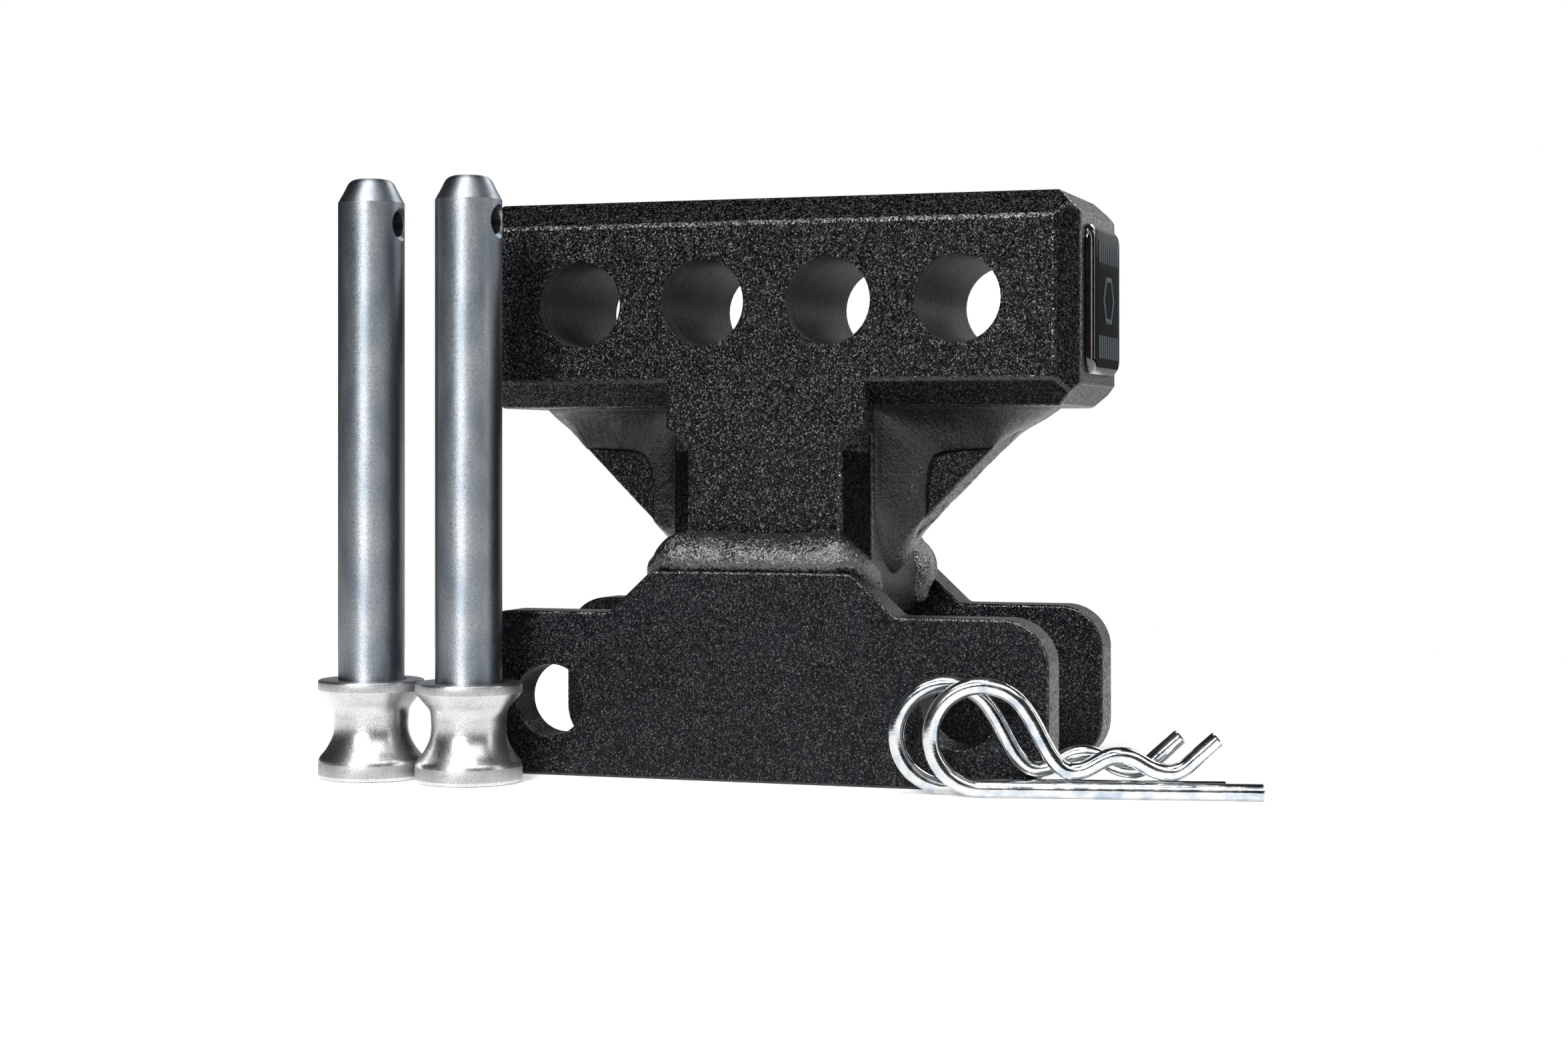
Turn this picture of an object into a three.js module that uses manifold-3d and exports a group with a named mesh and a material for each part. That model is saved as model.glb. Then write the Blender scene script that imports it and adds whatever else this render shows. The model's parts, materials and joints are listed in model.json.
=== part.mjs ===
// Weight distribution hitch: a four-hole square shank bar on a two-plate clevis,
// with its two hitch pins and two spring clips set down beside it.
// Millimetres. +X runs along the bar, +Y to the rear plate, +Z up from the floor.
import * as THREE from 'three';
import { mergeVertices } from 'three/addons/utils/BufferGeometryUtils.js';
import { ConvexGeometry } from 'three/addons/geometries/ConvexGeometry.js';
import Module from 'manifold-3d';

const wasm = await Module();
wasm.setup();

// ---------------------------------------------------------------- driving dimensions
const INCH = 25.4;
const BAR_SIDE = 2 * INCH;
const BAR_LENGTH = 6 * INCH;
const BAR_BOTTOM = 3.5 * INCH;
const EDGE_CHAMFER = 0.25 * INCH;
const END_CHAMFER = 5.3;
const BAR_HOLE_RADIUS = 10.5;
const BAR_HOLE_PITCH = 1.25 * INCH;

const NECK_SIDE = 2 * INCH;
const NECK_BOTTOM = 1.5 * INCH;

const GUSSET_THICKNESS = 0.5 * INCH;
const GUSSET_LEG_LEFT = 38;
const GUSSET_LEG_RIGHT = 36.2;

const CLEVIS_GAP = NECK_SIDE;
const PLATE_THICKNESS = 11.1;
const PLATE_LENGTH = 144.2;
const EAR_HEIGHT = 39.7;
const SADDLE_HEIGHT = 49.8;
const SADDLE_HALF_WIDTH = 25;
const SHOULDER_RUN = 10.6;
const EAR_RADIUS = 11;
const PIN_HOLE_RADIUS = 8.6;
const PIN_HOLE_HEIGHT = 18.2;
const PIN_HOLE_SPACING = 4 * INCH;

const GROOVE_WELD_BOTTOM = 79.4;
const GUSSET_WELD_FACE_LEG = 9.8;
const GUSSET_WELD_DEPTH_LEG = 11.6;
const PLATE_WELD_HEIGHT = 9.3;
const PLATE_WELD_ROOT = 41;

const BADGE_WIDTH = 33;
const BADGE_HEIGHT = 35.6;
const BADGE_THICKNESS = 2.4;
const BADGE_CORNER = 3;

const PIN_RADIUS = 5 / 16 * INCH;
const PIN_TOP = 143.5;
const PIN_TIP_LENGTH = 5.6;
const PIN_TIP_RADIUS = 3.6;
const HEAD_RADIUS = 12.7;
const HEAD_HEIGHT = 23.6;
const HEAD_WAIST_RADIUS = 8.95;
const FLANGE_BAND = 3.9;
const COLLAR_BAND = 2.35;
const SOCKET_DEPTH = 10;
const SOCKET_CLEARANCE = 0.06;
const CLIP_HOLE_RADIUS = 3.05;
const CLIP_HOLE_HEIGHT = 132.6;
const PIN_PLACES = { left: [-90.1, -53.4], right: [-64.1, -54.4] };

const WIRE_RADIUS = 1.95;
const LOOP_RADIUS = 11.65;
const LEG_LENGTH = 62.7;
const ARM_DESCENT = THREE.MathUtils.degToRad(60);
const WIRE_GAP = 0.35;
const HUMP_RISE = 7.9;
const HINGE_HALF_GAP = 0.3;
const CLIP_TURN = THREE.MathUtils.degToRad(12);
const CLIP_PLACES = { front: [58.7, -46.0], rear: [49.9, -43.4] };

const CIRCLE_STEPS = 40;
const ARC_STEPS = 4;
const WIRE_ARC_STEPS = 7;

// ---------------------------------------------------------------- finishes
const finish = (color, roughness, metalness) => ({ color, roughness, metalness });
const POWDER_COAT = finish(0x17181a, 0.55, 0.2);
const COATED_WELD = finish(0x1c1d20, 0.4, 0.25);
const BADGE_GLOSS = finish(0x0c0c0e, 0.15, 0.0);
const PIN_STEEL = finish(0x8a929a, 0.3, 1.0);
const HEAD_METAL = finish(0xc9cccf, 0.45, 1.0);
const ZINC_WIRE = finish(0xdde0e4, 0.15, 1.0);

// ---------------------------------------------------------------- solids
function toSolid(geometry) {
  const bare = geometry.clone();
  bare.deleteAttribute('normal');
  bare.deleteAttribute('uv');
  const merged = mergeVertices(bare, 1e-4);
  return new wasm.Manifold(new wasm.Mesh({
    numProp: 3,
    vertProperties: new Float32Array(merged.attributes.position.array),
    triVerts: new Uint32Array(merged.index.array),
  }));
}

function toGeometry(solid) {
  const mesh = solid.getMesh();
  const geometry = new THREE.BufferGeometry();
  geometry.setAttribute('position', new THREE.BufferAttribute(mesh.vertProperties, 3));
  geometry.setIndex(new THREE.BufferAttribute(mesh.triVerts, 1));
  geometry.computeVertexNormals();
  return geometry;
}

function named(name, geometry, look) {
  const mesh = new THREE.Mesh(geometry, new THREE.MeshStandardMaterial(look));
  mesh.name = name;
  return mesh;
}

// A flat outline swept along one axis, centred on that axis' origin.
function prism(shape, depth, axis) {
  const geometry = new THREE.ExtrudeGeometry(shape, {
    depth, bevelEnabled: false, curveSegments: ARC_STEPS,
  });
  geometry.translate(0, 0, -depth / 2);
  if (axis === 'x') {
    geometry.rotateX(Math.PI / 2);
    geometry.rotateZ(Math.PI / 2);
  }
  if (axis === 'y') geometry.rotateX(Math.PI / 2);
  return geometry;
}

function outline(points) {
  return new THREE.Shape(points.map(([a, b]) => new THREE.Vector2(a, b)));
}

function chamferedRectangle(width, height, cut) {
  const a = width / 2;
  const b = height / 2;
  return outline([
    [-a + cut, -b], [a - cut, -b], [a, -b + cut], [a, b - cut],
    [a - cut, b], [-a + cut, b], [-a, b - cut], [-a, -b + cut],
  ]);
}

function holeAlongY(x, z, radius, length) {
  const cylinder = new THREE.CylinderGeometry(radius, radius, length, CIRCLE_STEPS);
  return toSolid(cylinder.translate(x, 0, z));
}

function block(x, y, z) {
  const size = [x, y, z].map(([low, high]) => high - low);
  const centre = [x, y, z].map(([low, high]) => (low + high) / 2);
  return toSolid(new THREE.BoxGeometry(...size).translate(...centre));
}

function hull(points) {
  return toSolid(new ConvexGeometry(points.map((p) => new THREE.Vector3(...p))));
}

// ---------------------------------------------------------------- shank bar and neck
function plainBar() {
  const middle = BAR_BOTTOM + BAR_SIDE / 2;
  const along = prism(chamferedRectangle(BAR_SIDE, BAR_SIDE, EDGE_CHAMFER), BAR_LENGTH, 'x');
  const across = prism(chamferedRectangle(BAR_LENGTH, BAR_SIDE, END_CHAMFER), BAR_SIDE, 'y');
  const upright = prism(chamferedRectangle(BAR_LENGTH, BAR_SIDE, END_CHAMFER), BAR_SIDE, 'z');
  return toSolid(along)
    .intersect(toSolid(across))
    .intersect(toSolid(upright))
    .translate([0, 0, middle]);
}

function shankBar() {
  let bar = plainBar();
  for (const step of [-1.5, -0.5, 0.5, 1.5]) {
    const x = step * BAR_HOLE_PITCH;
    bar = bar.subtract(holeAlongY(x, BAR_BOTTOM + BAR_SIDE / 2, BAR_HOLE_RADIUS, 2 * BAR_SIDE));
  }
  return toGeometry(bar);
}

function neck() {
  const height = BAR_BOTTOM - NECK_BOTTOM;
  const section = prism(chamferedRectangle(NECK_SIDE, NECK_SIDE, EDGE_CHAMFER), height, 'z');
  return section.translate(0, 0, NECK_BOTTOM + height / 2);
}

// ---------------------------------------------------------------- gussets and clevis plates
// side is -1 for the left of the neck and +1 for the right.
function cornerTriangle(leg, thickness, side) {
  const corner = NECK_SIDE / 2;
  const points = [
    [side * corner, BAR_BOTTOM],
    [side * (corner + leg), BAR_BOTTOM],
    [side * corner, BAR_BOTTOM - leg],
  ];
  return prism(outline(points), thickness, 'y');
}

function clevisPlate(facing) {
  const end = PLATE_LENGTH / 2;
  const r = EAR_RADIUS;
  const foot = SADDLE_HALF_WIDTH + SHOULDER_RUN;
  const shape = new THREE.Shape();
  shape.moveTo(-end + r, 0);
  shape.lineTo(end - r, 0);
  shape.absarc(end - r, r, r, -Math.PI / 2, 0, false);
  shape.absarc(end - r, EAR_HEIGHT - r, r, 0, Math.PI / 2, false);
  shape.lineTo(foot, EAR_HEIGHT);
  shape.lineTo(SADDLE_HALF_WIDTH, SADDLE_HEIGHT);
  shape.lineTo(-SADDLE_HALF_WIDTH, SADDLE_HEIGHT);
  shape.lineTo(-foot, EAR_HEIGHT);
  shape.absarc(-end + r, EAR_HEIGHT - r, r, Math.PI / 2, Math.PI, false);
  shape.absarc(-end + r, r, r, Math.PI, 1.5 * Math.PI, false);
  let plate = toSolid(prism(shape, PLATE_THICKNESS, 'y'));
  for (const side of [-1, 1]) {
    const x = side * PIN_HOLE_SPACING / 2;
    plate = plate.subtract(holeAlongY(x, PIN_HOLE_HEIGHT, PIN_HOLE_RADIUS, 2 * PLATE_THICKNESS));
  }
  const middle = facing * (CLEVIS_GAP + PLATE_THICKNESS) / 2;
  return toGeometry(plate.translate([0, middle, 0]));
}

// ---------------------------------------------------------------- welds
// facing is -1 for the front of the hitch and +1 for the rear.
function grooveWeld(facing) {
  const face = facing * BAR_SIDE / 2;
  const root = facing * (BAR_SIDE / 2 - EDGE_CHAMFER);
  const fill = block(
    [-NECK_SIDE / 2, NECK_SIDE / 2],
    [Math.min(face, root), Math.max(face, root)],
    [GROOVE_WELD_BOTTOM, BAR_BOTTOM + EDGE_CHAMFER],
  );
  return toGeometry(fill.subtract(toSolid(neck())).subtract(plainBar()));
}

// The hollow cross-section of a fillet weld in its own corner at the origin.
function filletSection(across, up) {
  const steps = 4;
  const hollow = 0.16;
  const points = [[0, 0]];
  for (let i = 0; i <= steps; i += 1) {
    const t = i / steps;
    const sag = 4 * hollow * t * (1 - t);
    points.push([across * (1 - t) * (1 - sag), up * t * (1 - sag)]);
  }
  return points;
}

function gussetWeld(side, leg, facing) {
  const face = facing * GUSSET_THICKNESS / 2;
  const reach = BAR_SIDE;
  const corner = NECK_SIDE / 2;
  const section = filletSection(GUSSET_WELD_DEPTH_LEG, GUSSET_WELD_FACE_LEG);
  const underBar = convexParts(section, (p, along) => [
    side * (corner + along), face + facing * p[0], BAR_BOTTOM - p[1],
  ], reach);
  const downNeck = convexParts(section, (p, along) => [
    side * (corner + p[1]), face + facing * p[0], BAR_BOTTOM - along,
  ], reach);
  const depth = 2 * GUSSET_WELD_DEPTH_LEG;
  const bounds = toSolid(cornerTriangle(leg, depth, side).translate(0, face + facing * depth / 2, 0));
  return toGeometry(underBar.add(downNeck).intersect(bounds));
}

// A swept section cut into convex slices at its corner point.
function convexParts(section, place, length) {
  const [root, ...edge] = section;
  let solid = null;
  for (let i = 0; i + 1 < edge.length; i += 1) {
    const slice = [root, edge[i], edge[i + 1]];
    const points = [0, length].flatMap((along) => slice.map((p) => place(p, along)));
    solid = solid ? solid.add(hull(points)) : hull(points);
  }
  return solid;
}

function plateWeld(facing) {
  const inner = facing * CLEVIS_GAP / 2;
  const outer = facing * (CLEVIS_GAP / 2 + PLATE_THICKNESS);
  const back = facing * (NECK_SIDE / 2 - EDGE_CHAMFER);
  const half = NECK_SIDE / 2;
  const top = SADDLE_HEIGHT + PLATE_WELD_HEIGHT;
  const points = [-1, 1].flatMap((side) => [
    [side * (half - 3.2), outer, SADDLE_HEIGHT],
    [side * (half - 0.4), (inner + outer) / 2, SADDLE_HEIGHT],
    [side * (half + 1.8), inner, SADDLE_HEIGHT],
    [side * (half + 1.8), back, SADDLE_HEIGHT],
    [side * (half - EDGE_CHAMFER), inner + facing * 0.2, top],
    [side * (half + 0.2), back, top],
    [side * (half - 5), (inner + outer) / 2, top - 2.2],
  ]);
  let weld = hull(points);
  for (const side of [-1, 1]) {
    weld = weld.add(block(
      [Math.min(side * (half - EDGE_CHAMFER), side * (half + 1.8)),
        Math.max(side * (half - EDGE_CHAMFER), side * (half + 1.8))],
      [Math.min(inner, back), Math.max(inner, back)],
      [PLATE_WELD_ROOT, SADDLE_HEIGHT],
    ));
  }
  return toGeometry(weld.subtract(toSolid(neck())));
}

// ---------------------------------------------------------------- end badge
function badge() {
  const a = BADGE_WIDTH / 2;
  const b = BADGE_HEIGHT / 2;
  const r = BADGE_CORNER;
  const dome = BADGE_THICKNESS / 3;
  const shape = new THREE.Shape();
  shape.absarc(a - r - dome, -b + r + dome, r, -Math.PI / 2, 0, false);
  shape.absarc(a - r - dome, b - r - dome, r, 0, Math.PI / 2, false);
  shape.absarc(-a + r + dome, b - r - dome, r, Math.PI / 2, Math.PI, false);
  shape.absarc(-a + r + dome, -b + r + dome, r, Math.PI, 1.5 * Math.PI, false);
  const geometry = new THREE.ExtrudeGeometry(shape, {
    depth: dome, bevelThickness: dome, bevelSize: dome, bevelSegments: 2, curveSegments: ARC_STEPS,
  });
  geometry.rotateX(Math.PI / 2);
  geometry.rotateZ(Math.PI / 2);
  return geometry;
}

// ---------------------------------------------------------------- hitch pins
function lathe(points) {
  const profile = points.map(([radius, height]) => new THREE.Vector2(radius, height));
  return new THREE.LatheGeometry(profile, CIRCLE_STEPS).rotateX(Math.PI / 2);
}

function pinShaft() {
  const bottom = HEAD_HEIGHT - SOCKET_DEPTH;
  const shoulder = PIN_TOP - PIN_TIP_LENGTH;
  const shaft = toSolid(lathe([
    [0, bottom], [PIN_RADIUS, bottom], [PIN_RADIUS, shoulder],
    [PIN_RADIUS - 2, PIN_TOP - 2.1], [PIN_TIP_RADIUS, PIN_TOP], [0, PIN_TOP],
  ]));
  const drill = new THREE.CylinderGeometry(CLIP_HOLE_RADIUS, CLIP_HOLE_RADIUS, 4 * PIN_RADIUS, 24);
  let cutter = toSolid(drill.rotateZ(Math.PI / 2));
  for (const side of [-1, 1]) {
    const sink = new THREE.CylinderGeometry(CLIP_HOLE_RADIUS + 3, CLIP_HOLE_RADIUS, 3, 24);
    sink.rotateZ(-side * Math.PI / 2).translate(side * 7.4, 0, 0);
    cutter = cutter.add(toSolid(sink));
  }
  return toGeometry(shaft.subtract(cutter.translate([0, 0, CLIP_HOLE_HEIGHT])));
}

function pinHead() {
  const seat = HEAD_HEIGHT - SOCKET_DEPTH - SOCKET_CLEARANCE;
  const socket = PIN_RADIUS + SOCKET_CLEARANCE;
  const low = FLANGE_BAND;
  const high = HEAD_HEIGHT - COLLAR_BAND;
  const waist = [];
  for (let i = 0; i <= 10; i += 1) {
    const t = i / 10;
    const dip = Math.sin(Math.PI * t) * (HEAD_RADIUS - HEAD_WAIST_RADIUS);
    waist.push([HEAD_RADIUS - dip, low + t * (high - low)]);
  }
  return lathe([
    [0, 0], [HEAD_RADIUS - 0.5, 0], [HEAD_RADIUS, 0.5], ...waist,
    [HEAD_RADIUS, HEAD_HEIGHT - 0.4], [HEAD_RADIUS - 0.4, HEAD_HEIGHT],
    [socket, HEAD_HEIGHT], [socket, seat], [0, seat],
  ]);
}

// ---------------------------------------------------------------- spring clips
// Outlines in the clip's own plane: the leg's centre line starts at the origin and
// the loop's centre sits one loop radius above it.
function legPath() {
  const path = new THREE.Path();
  const start = Math.PI + HINGE_HALF_GAP / LOOP_RADIUS;
  path.absarc(0, LOOP_RADIUS, LOOP_RADIUS, start, 1.5 * Math.PI, false);
  path.lineTo(LEG_LENGTH, 0);
  return path;
}

function armPath() {
  const path = new THREE.Path();
  const start = Math.PI - HINGE_HALF_GAP / LOOP_RADIUS;
  const low = 2 * WIRE_RADIUS + WIRE_GAP;
  path.absarc(0, LOOP_RADIUS, LOOP_RADIUS, start, Math.PI / 2 - ARM_DESCENT, true);
  const valley = 20.3;
  const hump = 31;
  const dip = 42;
  path.bezierCurveTo(13.3, 13.1, 15.6, low, valley, low);
  path.bezierCurveTo(valley + 4.6, low, hump - 4.6, HUMP_RISE, hump, HUMP_RISE);
  path.bezierCurveTo(hump + 4.6, HUMP_RISE, dip - 5.4, low, dip, low);
  path.bezierCurveTo(dip + 2.6, low, dip + 4, low + 1.6, dip + 5.2, low + 2.7);
  path.lineTo(52.6, 11.8);
  return path;
}

function wire(path, steps) {
  const points = path.getSpacedPoints(steps).map((p) => new THREE.Vector3(p.x, 0, p.y));
  const section = new THREE.Shape();
  section.absarc(0, 0, WIRE_RADIUS, 0, 2 * Math.PI, false);
  const centreLine = new THREE.CatmullRomCurve3(points, false, 'centripetal');
  return new THREE.ExtrudeGeometry(section, {
    steps, curveSegments: WIRE_ARC_STEPS, extrudePath: centreLine,
  });
}

function clip(name, [x, y]) {
  const group = new THREE.Group();
  group.add(named(`clip_${name}_leg`, wire(legPath(), 54), ZINC_WIRE));
  group.add(named(`clip_${name}_arm`, wire(armPath(), 88), ZINC_WIRE));
  group.position.set(x, y, WIRE_RADIUS);
  group.rotation.z = CLIP_TURN;
  return group;
}

// ---------------------------------------------------------------- the assembly
const layout = new THREE.Group();
const gussetLegs = { left: [-1, GUSSET_LEG_LEFT], right: [1, GUSSET_LEG_RIGHT] };
const facings = { front: -1, rear: 1 };

layout.add(named('shank_bar', shankBar(), POWDER_COAT));
layout.add(named('neck_block', neck(), POWDER_COAT));
for (const [side, [sign, leg]] of Object.entries(gussetLegs)) {
  layout.add(named(`gusset_${side}`, cornerTriangle(leg, GUSSET_THICKNESS, sign), POWDER_COAT));
}
for (const [end, facing] of Object.entries(facings)) {
  layout.add(named(`clevis_plate_${end}`, clevisPlate(facing), POWDER_COAT));
  layout.add(named(`weld_bar_neck_${end}`, grooveWeld(facing), POWDER_COAT));
  layout.add(named(`weld_plate_${end}`, plateWeld(facing), COATED_WELD));
  for (const [side, [sign, leg]] of Object.entries(gussetLegs)) {
    layout.add(named(`weld_gusset_${side}_${end}`, gussetWeld(sign, leg, facing), COATED_WELD));
  }
}

const badgeMesh = named('end_badge', badge(), BADGE_GLOSS);
badgeMesh.position.set(BAR_LENGTH / 2 + BADGE_THICKNESS / 3, 0, BAR_BOTTOM + BAR_SIDE / 2);
layout.add(badgeMesh);

for (const [side, [x, y]] of Object.entries(PIN_PLACES)) {
  const shaft = named(`pin_${side}_shaft`, pinShaft(), PIN_STEEL);
  const head = named(`pin_${side}_head`, pinHead(), HEAD_METAL);
  shaft.position.set(x, y, 0);
  head.position.set(x, y, 0);
  layout.add(shaft, head);
}

for (const [end, place] of Object.entries(CLIP_PLACES)) layout.add(clip(end, place));

// The origin is the middle of the whole set's footprint, on the floor.
const box = new THREE.Box3().setFromObject(layout);
const centre = box.getCenter(new THREE.Vector3());
layout.position.set(-centre.x, -centre.y, 0);

const hitch = new THREE.Group();
hitch.add(layout);
export default hitch;
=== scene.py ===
"""Looks for the weight distribution hitch: coated steel, welds, end badge, pins and clips.

Lengths are written in millimetres, and MM turns them into the frame's metres.
"""

import json
import math

import bmesh
import bpy
from mathutils import Matrix, Vector, noise

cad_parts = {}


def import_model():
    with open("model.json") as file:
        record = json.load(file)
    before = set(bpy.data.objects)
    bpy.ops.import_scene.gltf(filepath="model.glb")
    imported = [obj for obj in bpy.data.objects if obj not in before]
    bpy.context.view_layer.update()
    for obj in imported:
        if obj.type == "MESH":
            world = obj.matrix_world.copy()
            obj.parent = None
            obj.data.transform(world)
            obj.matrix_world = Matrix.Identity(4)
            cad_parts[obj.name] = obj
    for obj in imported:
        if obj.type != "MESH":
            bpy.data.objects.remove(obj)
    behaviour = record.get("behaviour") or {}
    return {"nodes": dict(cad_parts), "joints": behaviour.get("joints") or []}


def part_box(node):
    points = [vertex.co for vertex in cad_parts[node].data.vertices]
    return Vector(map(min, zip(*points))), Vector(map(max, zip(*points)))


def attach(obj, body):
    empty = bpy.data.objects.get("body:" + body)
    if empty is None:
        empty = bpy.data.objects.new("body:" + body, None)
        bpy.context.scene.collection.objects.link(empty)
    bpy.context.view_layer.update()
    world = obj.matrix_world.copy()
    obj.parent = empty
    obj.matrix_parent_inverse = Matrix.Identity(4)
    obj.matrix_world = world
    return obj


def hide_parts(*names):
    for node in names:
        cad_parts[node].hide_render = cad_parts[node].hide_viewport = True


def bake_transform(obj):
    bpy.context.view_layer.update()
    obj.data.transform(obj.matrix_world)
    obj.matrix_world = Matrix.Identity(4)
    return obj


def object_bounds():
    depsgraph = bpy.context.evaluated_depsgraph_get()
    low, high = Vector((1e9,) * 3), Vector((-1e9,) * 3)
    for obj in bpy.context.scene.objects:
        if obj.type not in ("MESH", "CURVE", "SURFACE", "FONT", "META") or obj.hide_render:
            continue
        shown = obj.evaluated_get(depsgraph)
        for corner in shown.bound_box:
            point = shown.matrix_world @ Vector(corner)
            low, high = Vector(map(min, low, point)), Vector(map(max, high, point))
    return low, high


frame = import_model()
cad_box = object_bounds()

MM = 0.001

# ---------------- places, from the frame
NECK_LO, NECK_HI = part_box("neck_block")
GUSSET_LO, GUSSET_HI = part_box("gusset_right")
PLATE_LO, PLATE_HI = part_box("clevis_plate_front")
BADGE_LO, BADGE_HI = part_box("end_badge")
CENTRE = (cad_box[0] + cad_box[1]) / 2
MIDDLE = (NECK_LO + NECK_HI) / 2
HALF_NECK = (NECK_HI.x - NECK_LO.x) / 2
HALF_GUSSET = (GUSSET_HI.y - GUSSET_LO.y) / 2
UNDER_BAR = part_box("shank_bar")[0].z
CHAMFER = 6.35 * MM
# Which way each side lies from the middle along X, and each face along Y.
SIGN = {"left": -1, "right": 1}
FACE_SIGN = {"front": -1, "rear": 1}

# ---------------- sizes of the fine detail
EDGE_ROUNDING = 0.7 * MM
RIM_ROUNDING = 0.6 * MM
BORE_ROUNDING = 0.55 * MM
BORE_FACET_WIDTH = 2.5 * MM
MERGE_DISTANCE = 0.01 * MM
# Material slots of a machined piece. The chamfer slot carries painted shade and the right-hand slot
# painted light.
FLAT, ARRIS, IN_BORE, CHAMFERED_PAINTED_SHADE, RIGHT_SIDE_PAINTED_LIGHT = range(5)

# Clevis plates, and the gussets' steps along their cut edge.
EAR_HEIGHT = 39.7 * MM
EAR_RADIUS = 11 * MM
EAR_STEPS = 24
SADDLE_HALF_WIDTH = 25 * MM
SHOULDER_RUN = 10.6 * MM
PIN_HOLE_RADIUS = 8.6 * MM
PIN_HOLE_HEIGHT = 18.2 * MM
PIN_HOLE_SPACING = 101.6 * MM
PIN_HOLE_STEPS = 96
GUSSET_STEPS = 200
GUSSET_ROUNDING = 0.4 * MM
GUSSET_FIRST_STEP = 0.1 * MM
# The gusset's long edge for a leg of 1.
LONG_EDGE = 1.414

# The gussets' fillet welds.
FILLET_FACE_LEG = 9.8 * MM
FILLET_DEPTH_LEG = 11.6 * MM
FILLET_CORNER = 2.6 * MM
FILLET_TAPER_START = 18 * MM
NOSE_LENGTH = {"left": 2.1 * MM, "right": 5.3 * MM}
TOE_LENGTH = 4.5 * MM
NOSE_FOOT = 5.5 * MM
EMBED = 0.35 * MM
FILLET_STEPS = 28
FILLET_STATIONS = 150
POOL_REACH = 6
RIPPLE_PITCH = 2.1 * MM
SIDE_ROUNDING = 1.3 * MM
TAIL_RINGS = 16
TAIL_SEGMENTS = 24
TAIL_RADIUS = 3 * MM
TAIL_LENGTH = 8 * MM
TAIL_OUT = 25.2 * MM
TAIL_FORWARD = 22.4 * MM

# Hitch pins.
PIN_SEGMENTS = 128
FOOT_CHAMFER = 0.4 * MM
TIP_LENGTH = 5.6 * MM
# The tip as (how far in from the shaft's side, how far up from the shoulder), in millimetres.
TIP_SHAPE = [(0, -0.1), (0.12, 0.05), (0.8, 1.4), (0.9, 1.45), (2.3, 4.25), (2.7, 4.8), (3.3, 5.25),
             (4.1, 5.54), (5, 5.6)]
# The spool's lower and upper corners as (how far in from its rim, how far from its end).
SPOOL_FOOT = [(0.9, 0), (0.25, 0.25), (0, 1)]
SPOOL_TOP = [(0, 0.5), (0.15, 0.15), (0.5, 0)]
FLANGE_BAND = 3.9 * MM
COLLAR_BAND = 2.35 * MM
WAIST_DIP = 3.75 * MM
# The spool's waist as (share of its height, share of its dip), from the flange up.
WAIST_SHAPE = [(0, 0), (0.065, 0.1), (0.18, 0.52), (0.32, 0.86), (0.45, 1), (0.6, 1), (0.745, 0.91),
               (0.88, 0.45), (1, 0)]
CROSS_HOLE_RADIUS = 3.05 * MM
CROSS_HOLE_DROP = 10.9 * MM
COUNTERSINK_START = 6.9 * MM
COUNTERSINK_END = 9.2 * MM
COUNTERSINK_RISE = 2.2 * MM
DRILL_REACH = 14 * MM
SOCKET_DEPTH = 10 * MM
SOCKET_CLEARANCE = 0.06 * MM
SOCKET_CHAMFER = 0.5 * MM

# Spring clips.
WIRE_RADIUS = 1.95 * MM
END_CHAMFER = 0.35 * MM
WIRE_SEGMENTS = 28
LOOP_RADIUS = 11.65 * MM
LEG_LENGTH = 62.7 * MM
HUMP_RISE = 7.9 * MM
ARM_LOW = 4.25 * MM

# ---------------- the view
CAMERA_AZIMUTH = 17.45
CAMERA_RANGE = 0.6547
CAMERA_HEIGHT = 0.0777
CAMERA_HEADING = 18.04
CAMERA_LENS = 62.03
CAMERA_SHIFT = -0.0439
FLOOR_RADIUS = 0.45
ROOM_DIM = 0.02
WALL_BRIGHT = 0.36


# ---------------- mesh helpers
def add_object(name, data):
    """A new object in the scene."""
    made = bpy.data.objects.new(name, data)
    bpy.context.scene.collection.objects.link(made)
    return made


def link_mesh(name, bm, materials, place=Vector((0, 0, 0))):
    """A new object from a bmesh, with its materials, normals outward and edges kept crisp."""
    bmesh.ops.recalc_face_normals(bm, faces=bm.faces)
    mesh = bpy.data.meshes.new(name)
    bm.to_mesh(mesh)
    bm.free()
    for slot in materials:
        mesh.materials.append(slot)
    piece = add_object(name, mesh)
    piece.location = place
    mesh.shade_smooth()
    mesh.set_sharp_from_angle(angle=math.radians(40))
    return piece


def seat(piece, body, node):
    """The piece rides on its body, and its CAD node is hidden."""
    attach(piece, body)
    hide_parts(node)
    return piece


def weigh_normals(piece):
    """Shades flat faces flat right up to their rounded edges."""
    modifier = piece.modifiers.new("weighted normals", "WEIGHTED_NORMAL")
    modifier.keep_sharp = True
    modifier.weight = 80


def bake(piece):
    """Applies the piece's modifiers to its mesh."""
    evaluated = piece.evaluated_get(bpy.context.evaluated_depsgraph_get())
    mesh = bpy.data.meshes.new_from_object(evaluated)
    piece.modifiers.clear()
    piece.data = mesh


def add_rings(bm, rings, closed=False):
    """Skins a row of equal rings of points into a closed body, capped unless it closes on itself."""
    rows = [[bm.verts.new(p) for p in ring] for ring in rings]
    count = len(rows[0])
    pairs = list(zip(rows, rows[1:]))
    if closed:
        pairs.append((rows[-1], rows[0]))
    for a, b in pairs:
        for i in range(count):
            j = (i + 1) % count
            bm.faces.new((a[i], a[j], b[j], b[i]))
    if not closed:
        bm.faces.new(reversed(rows[0]))
        bm.faces.new(rows[-1])
    return rows


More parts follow.
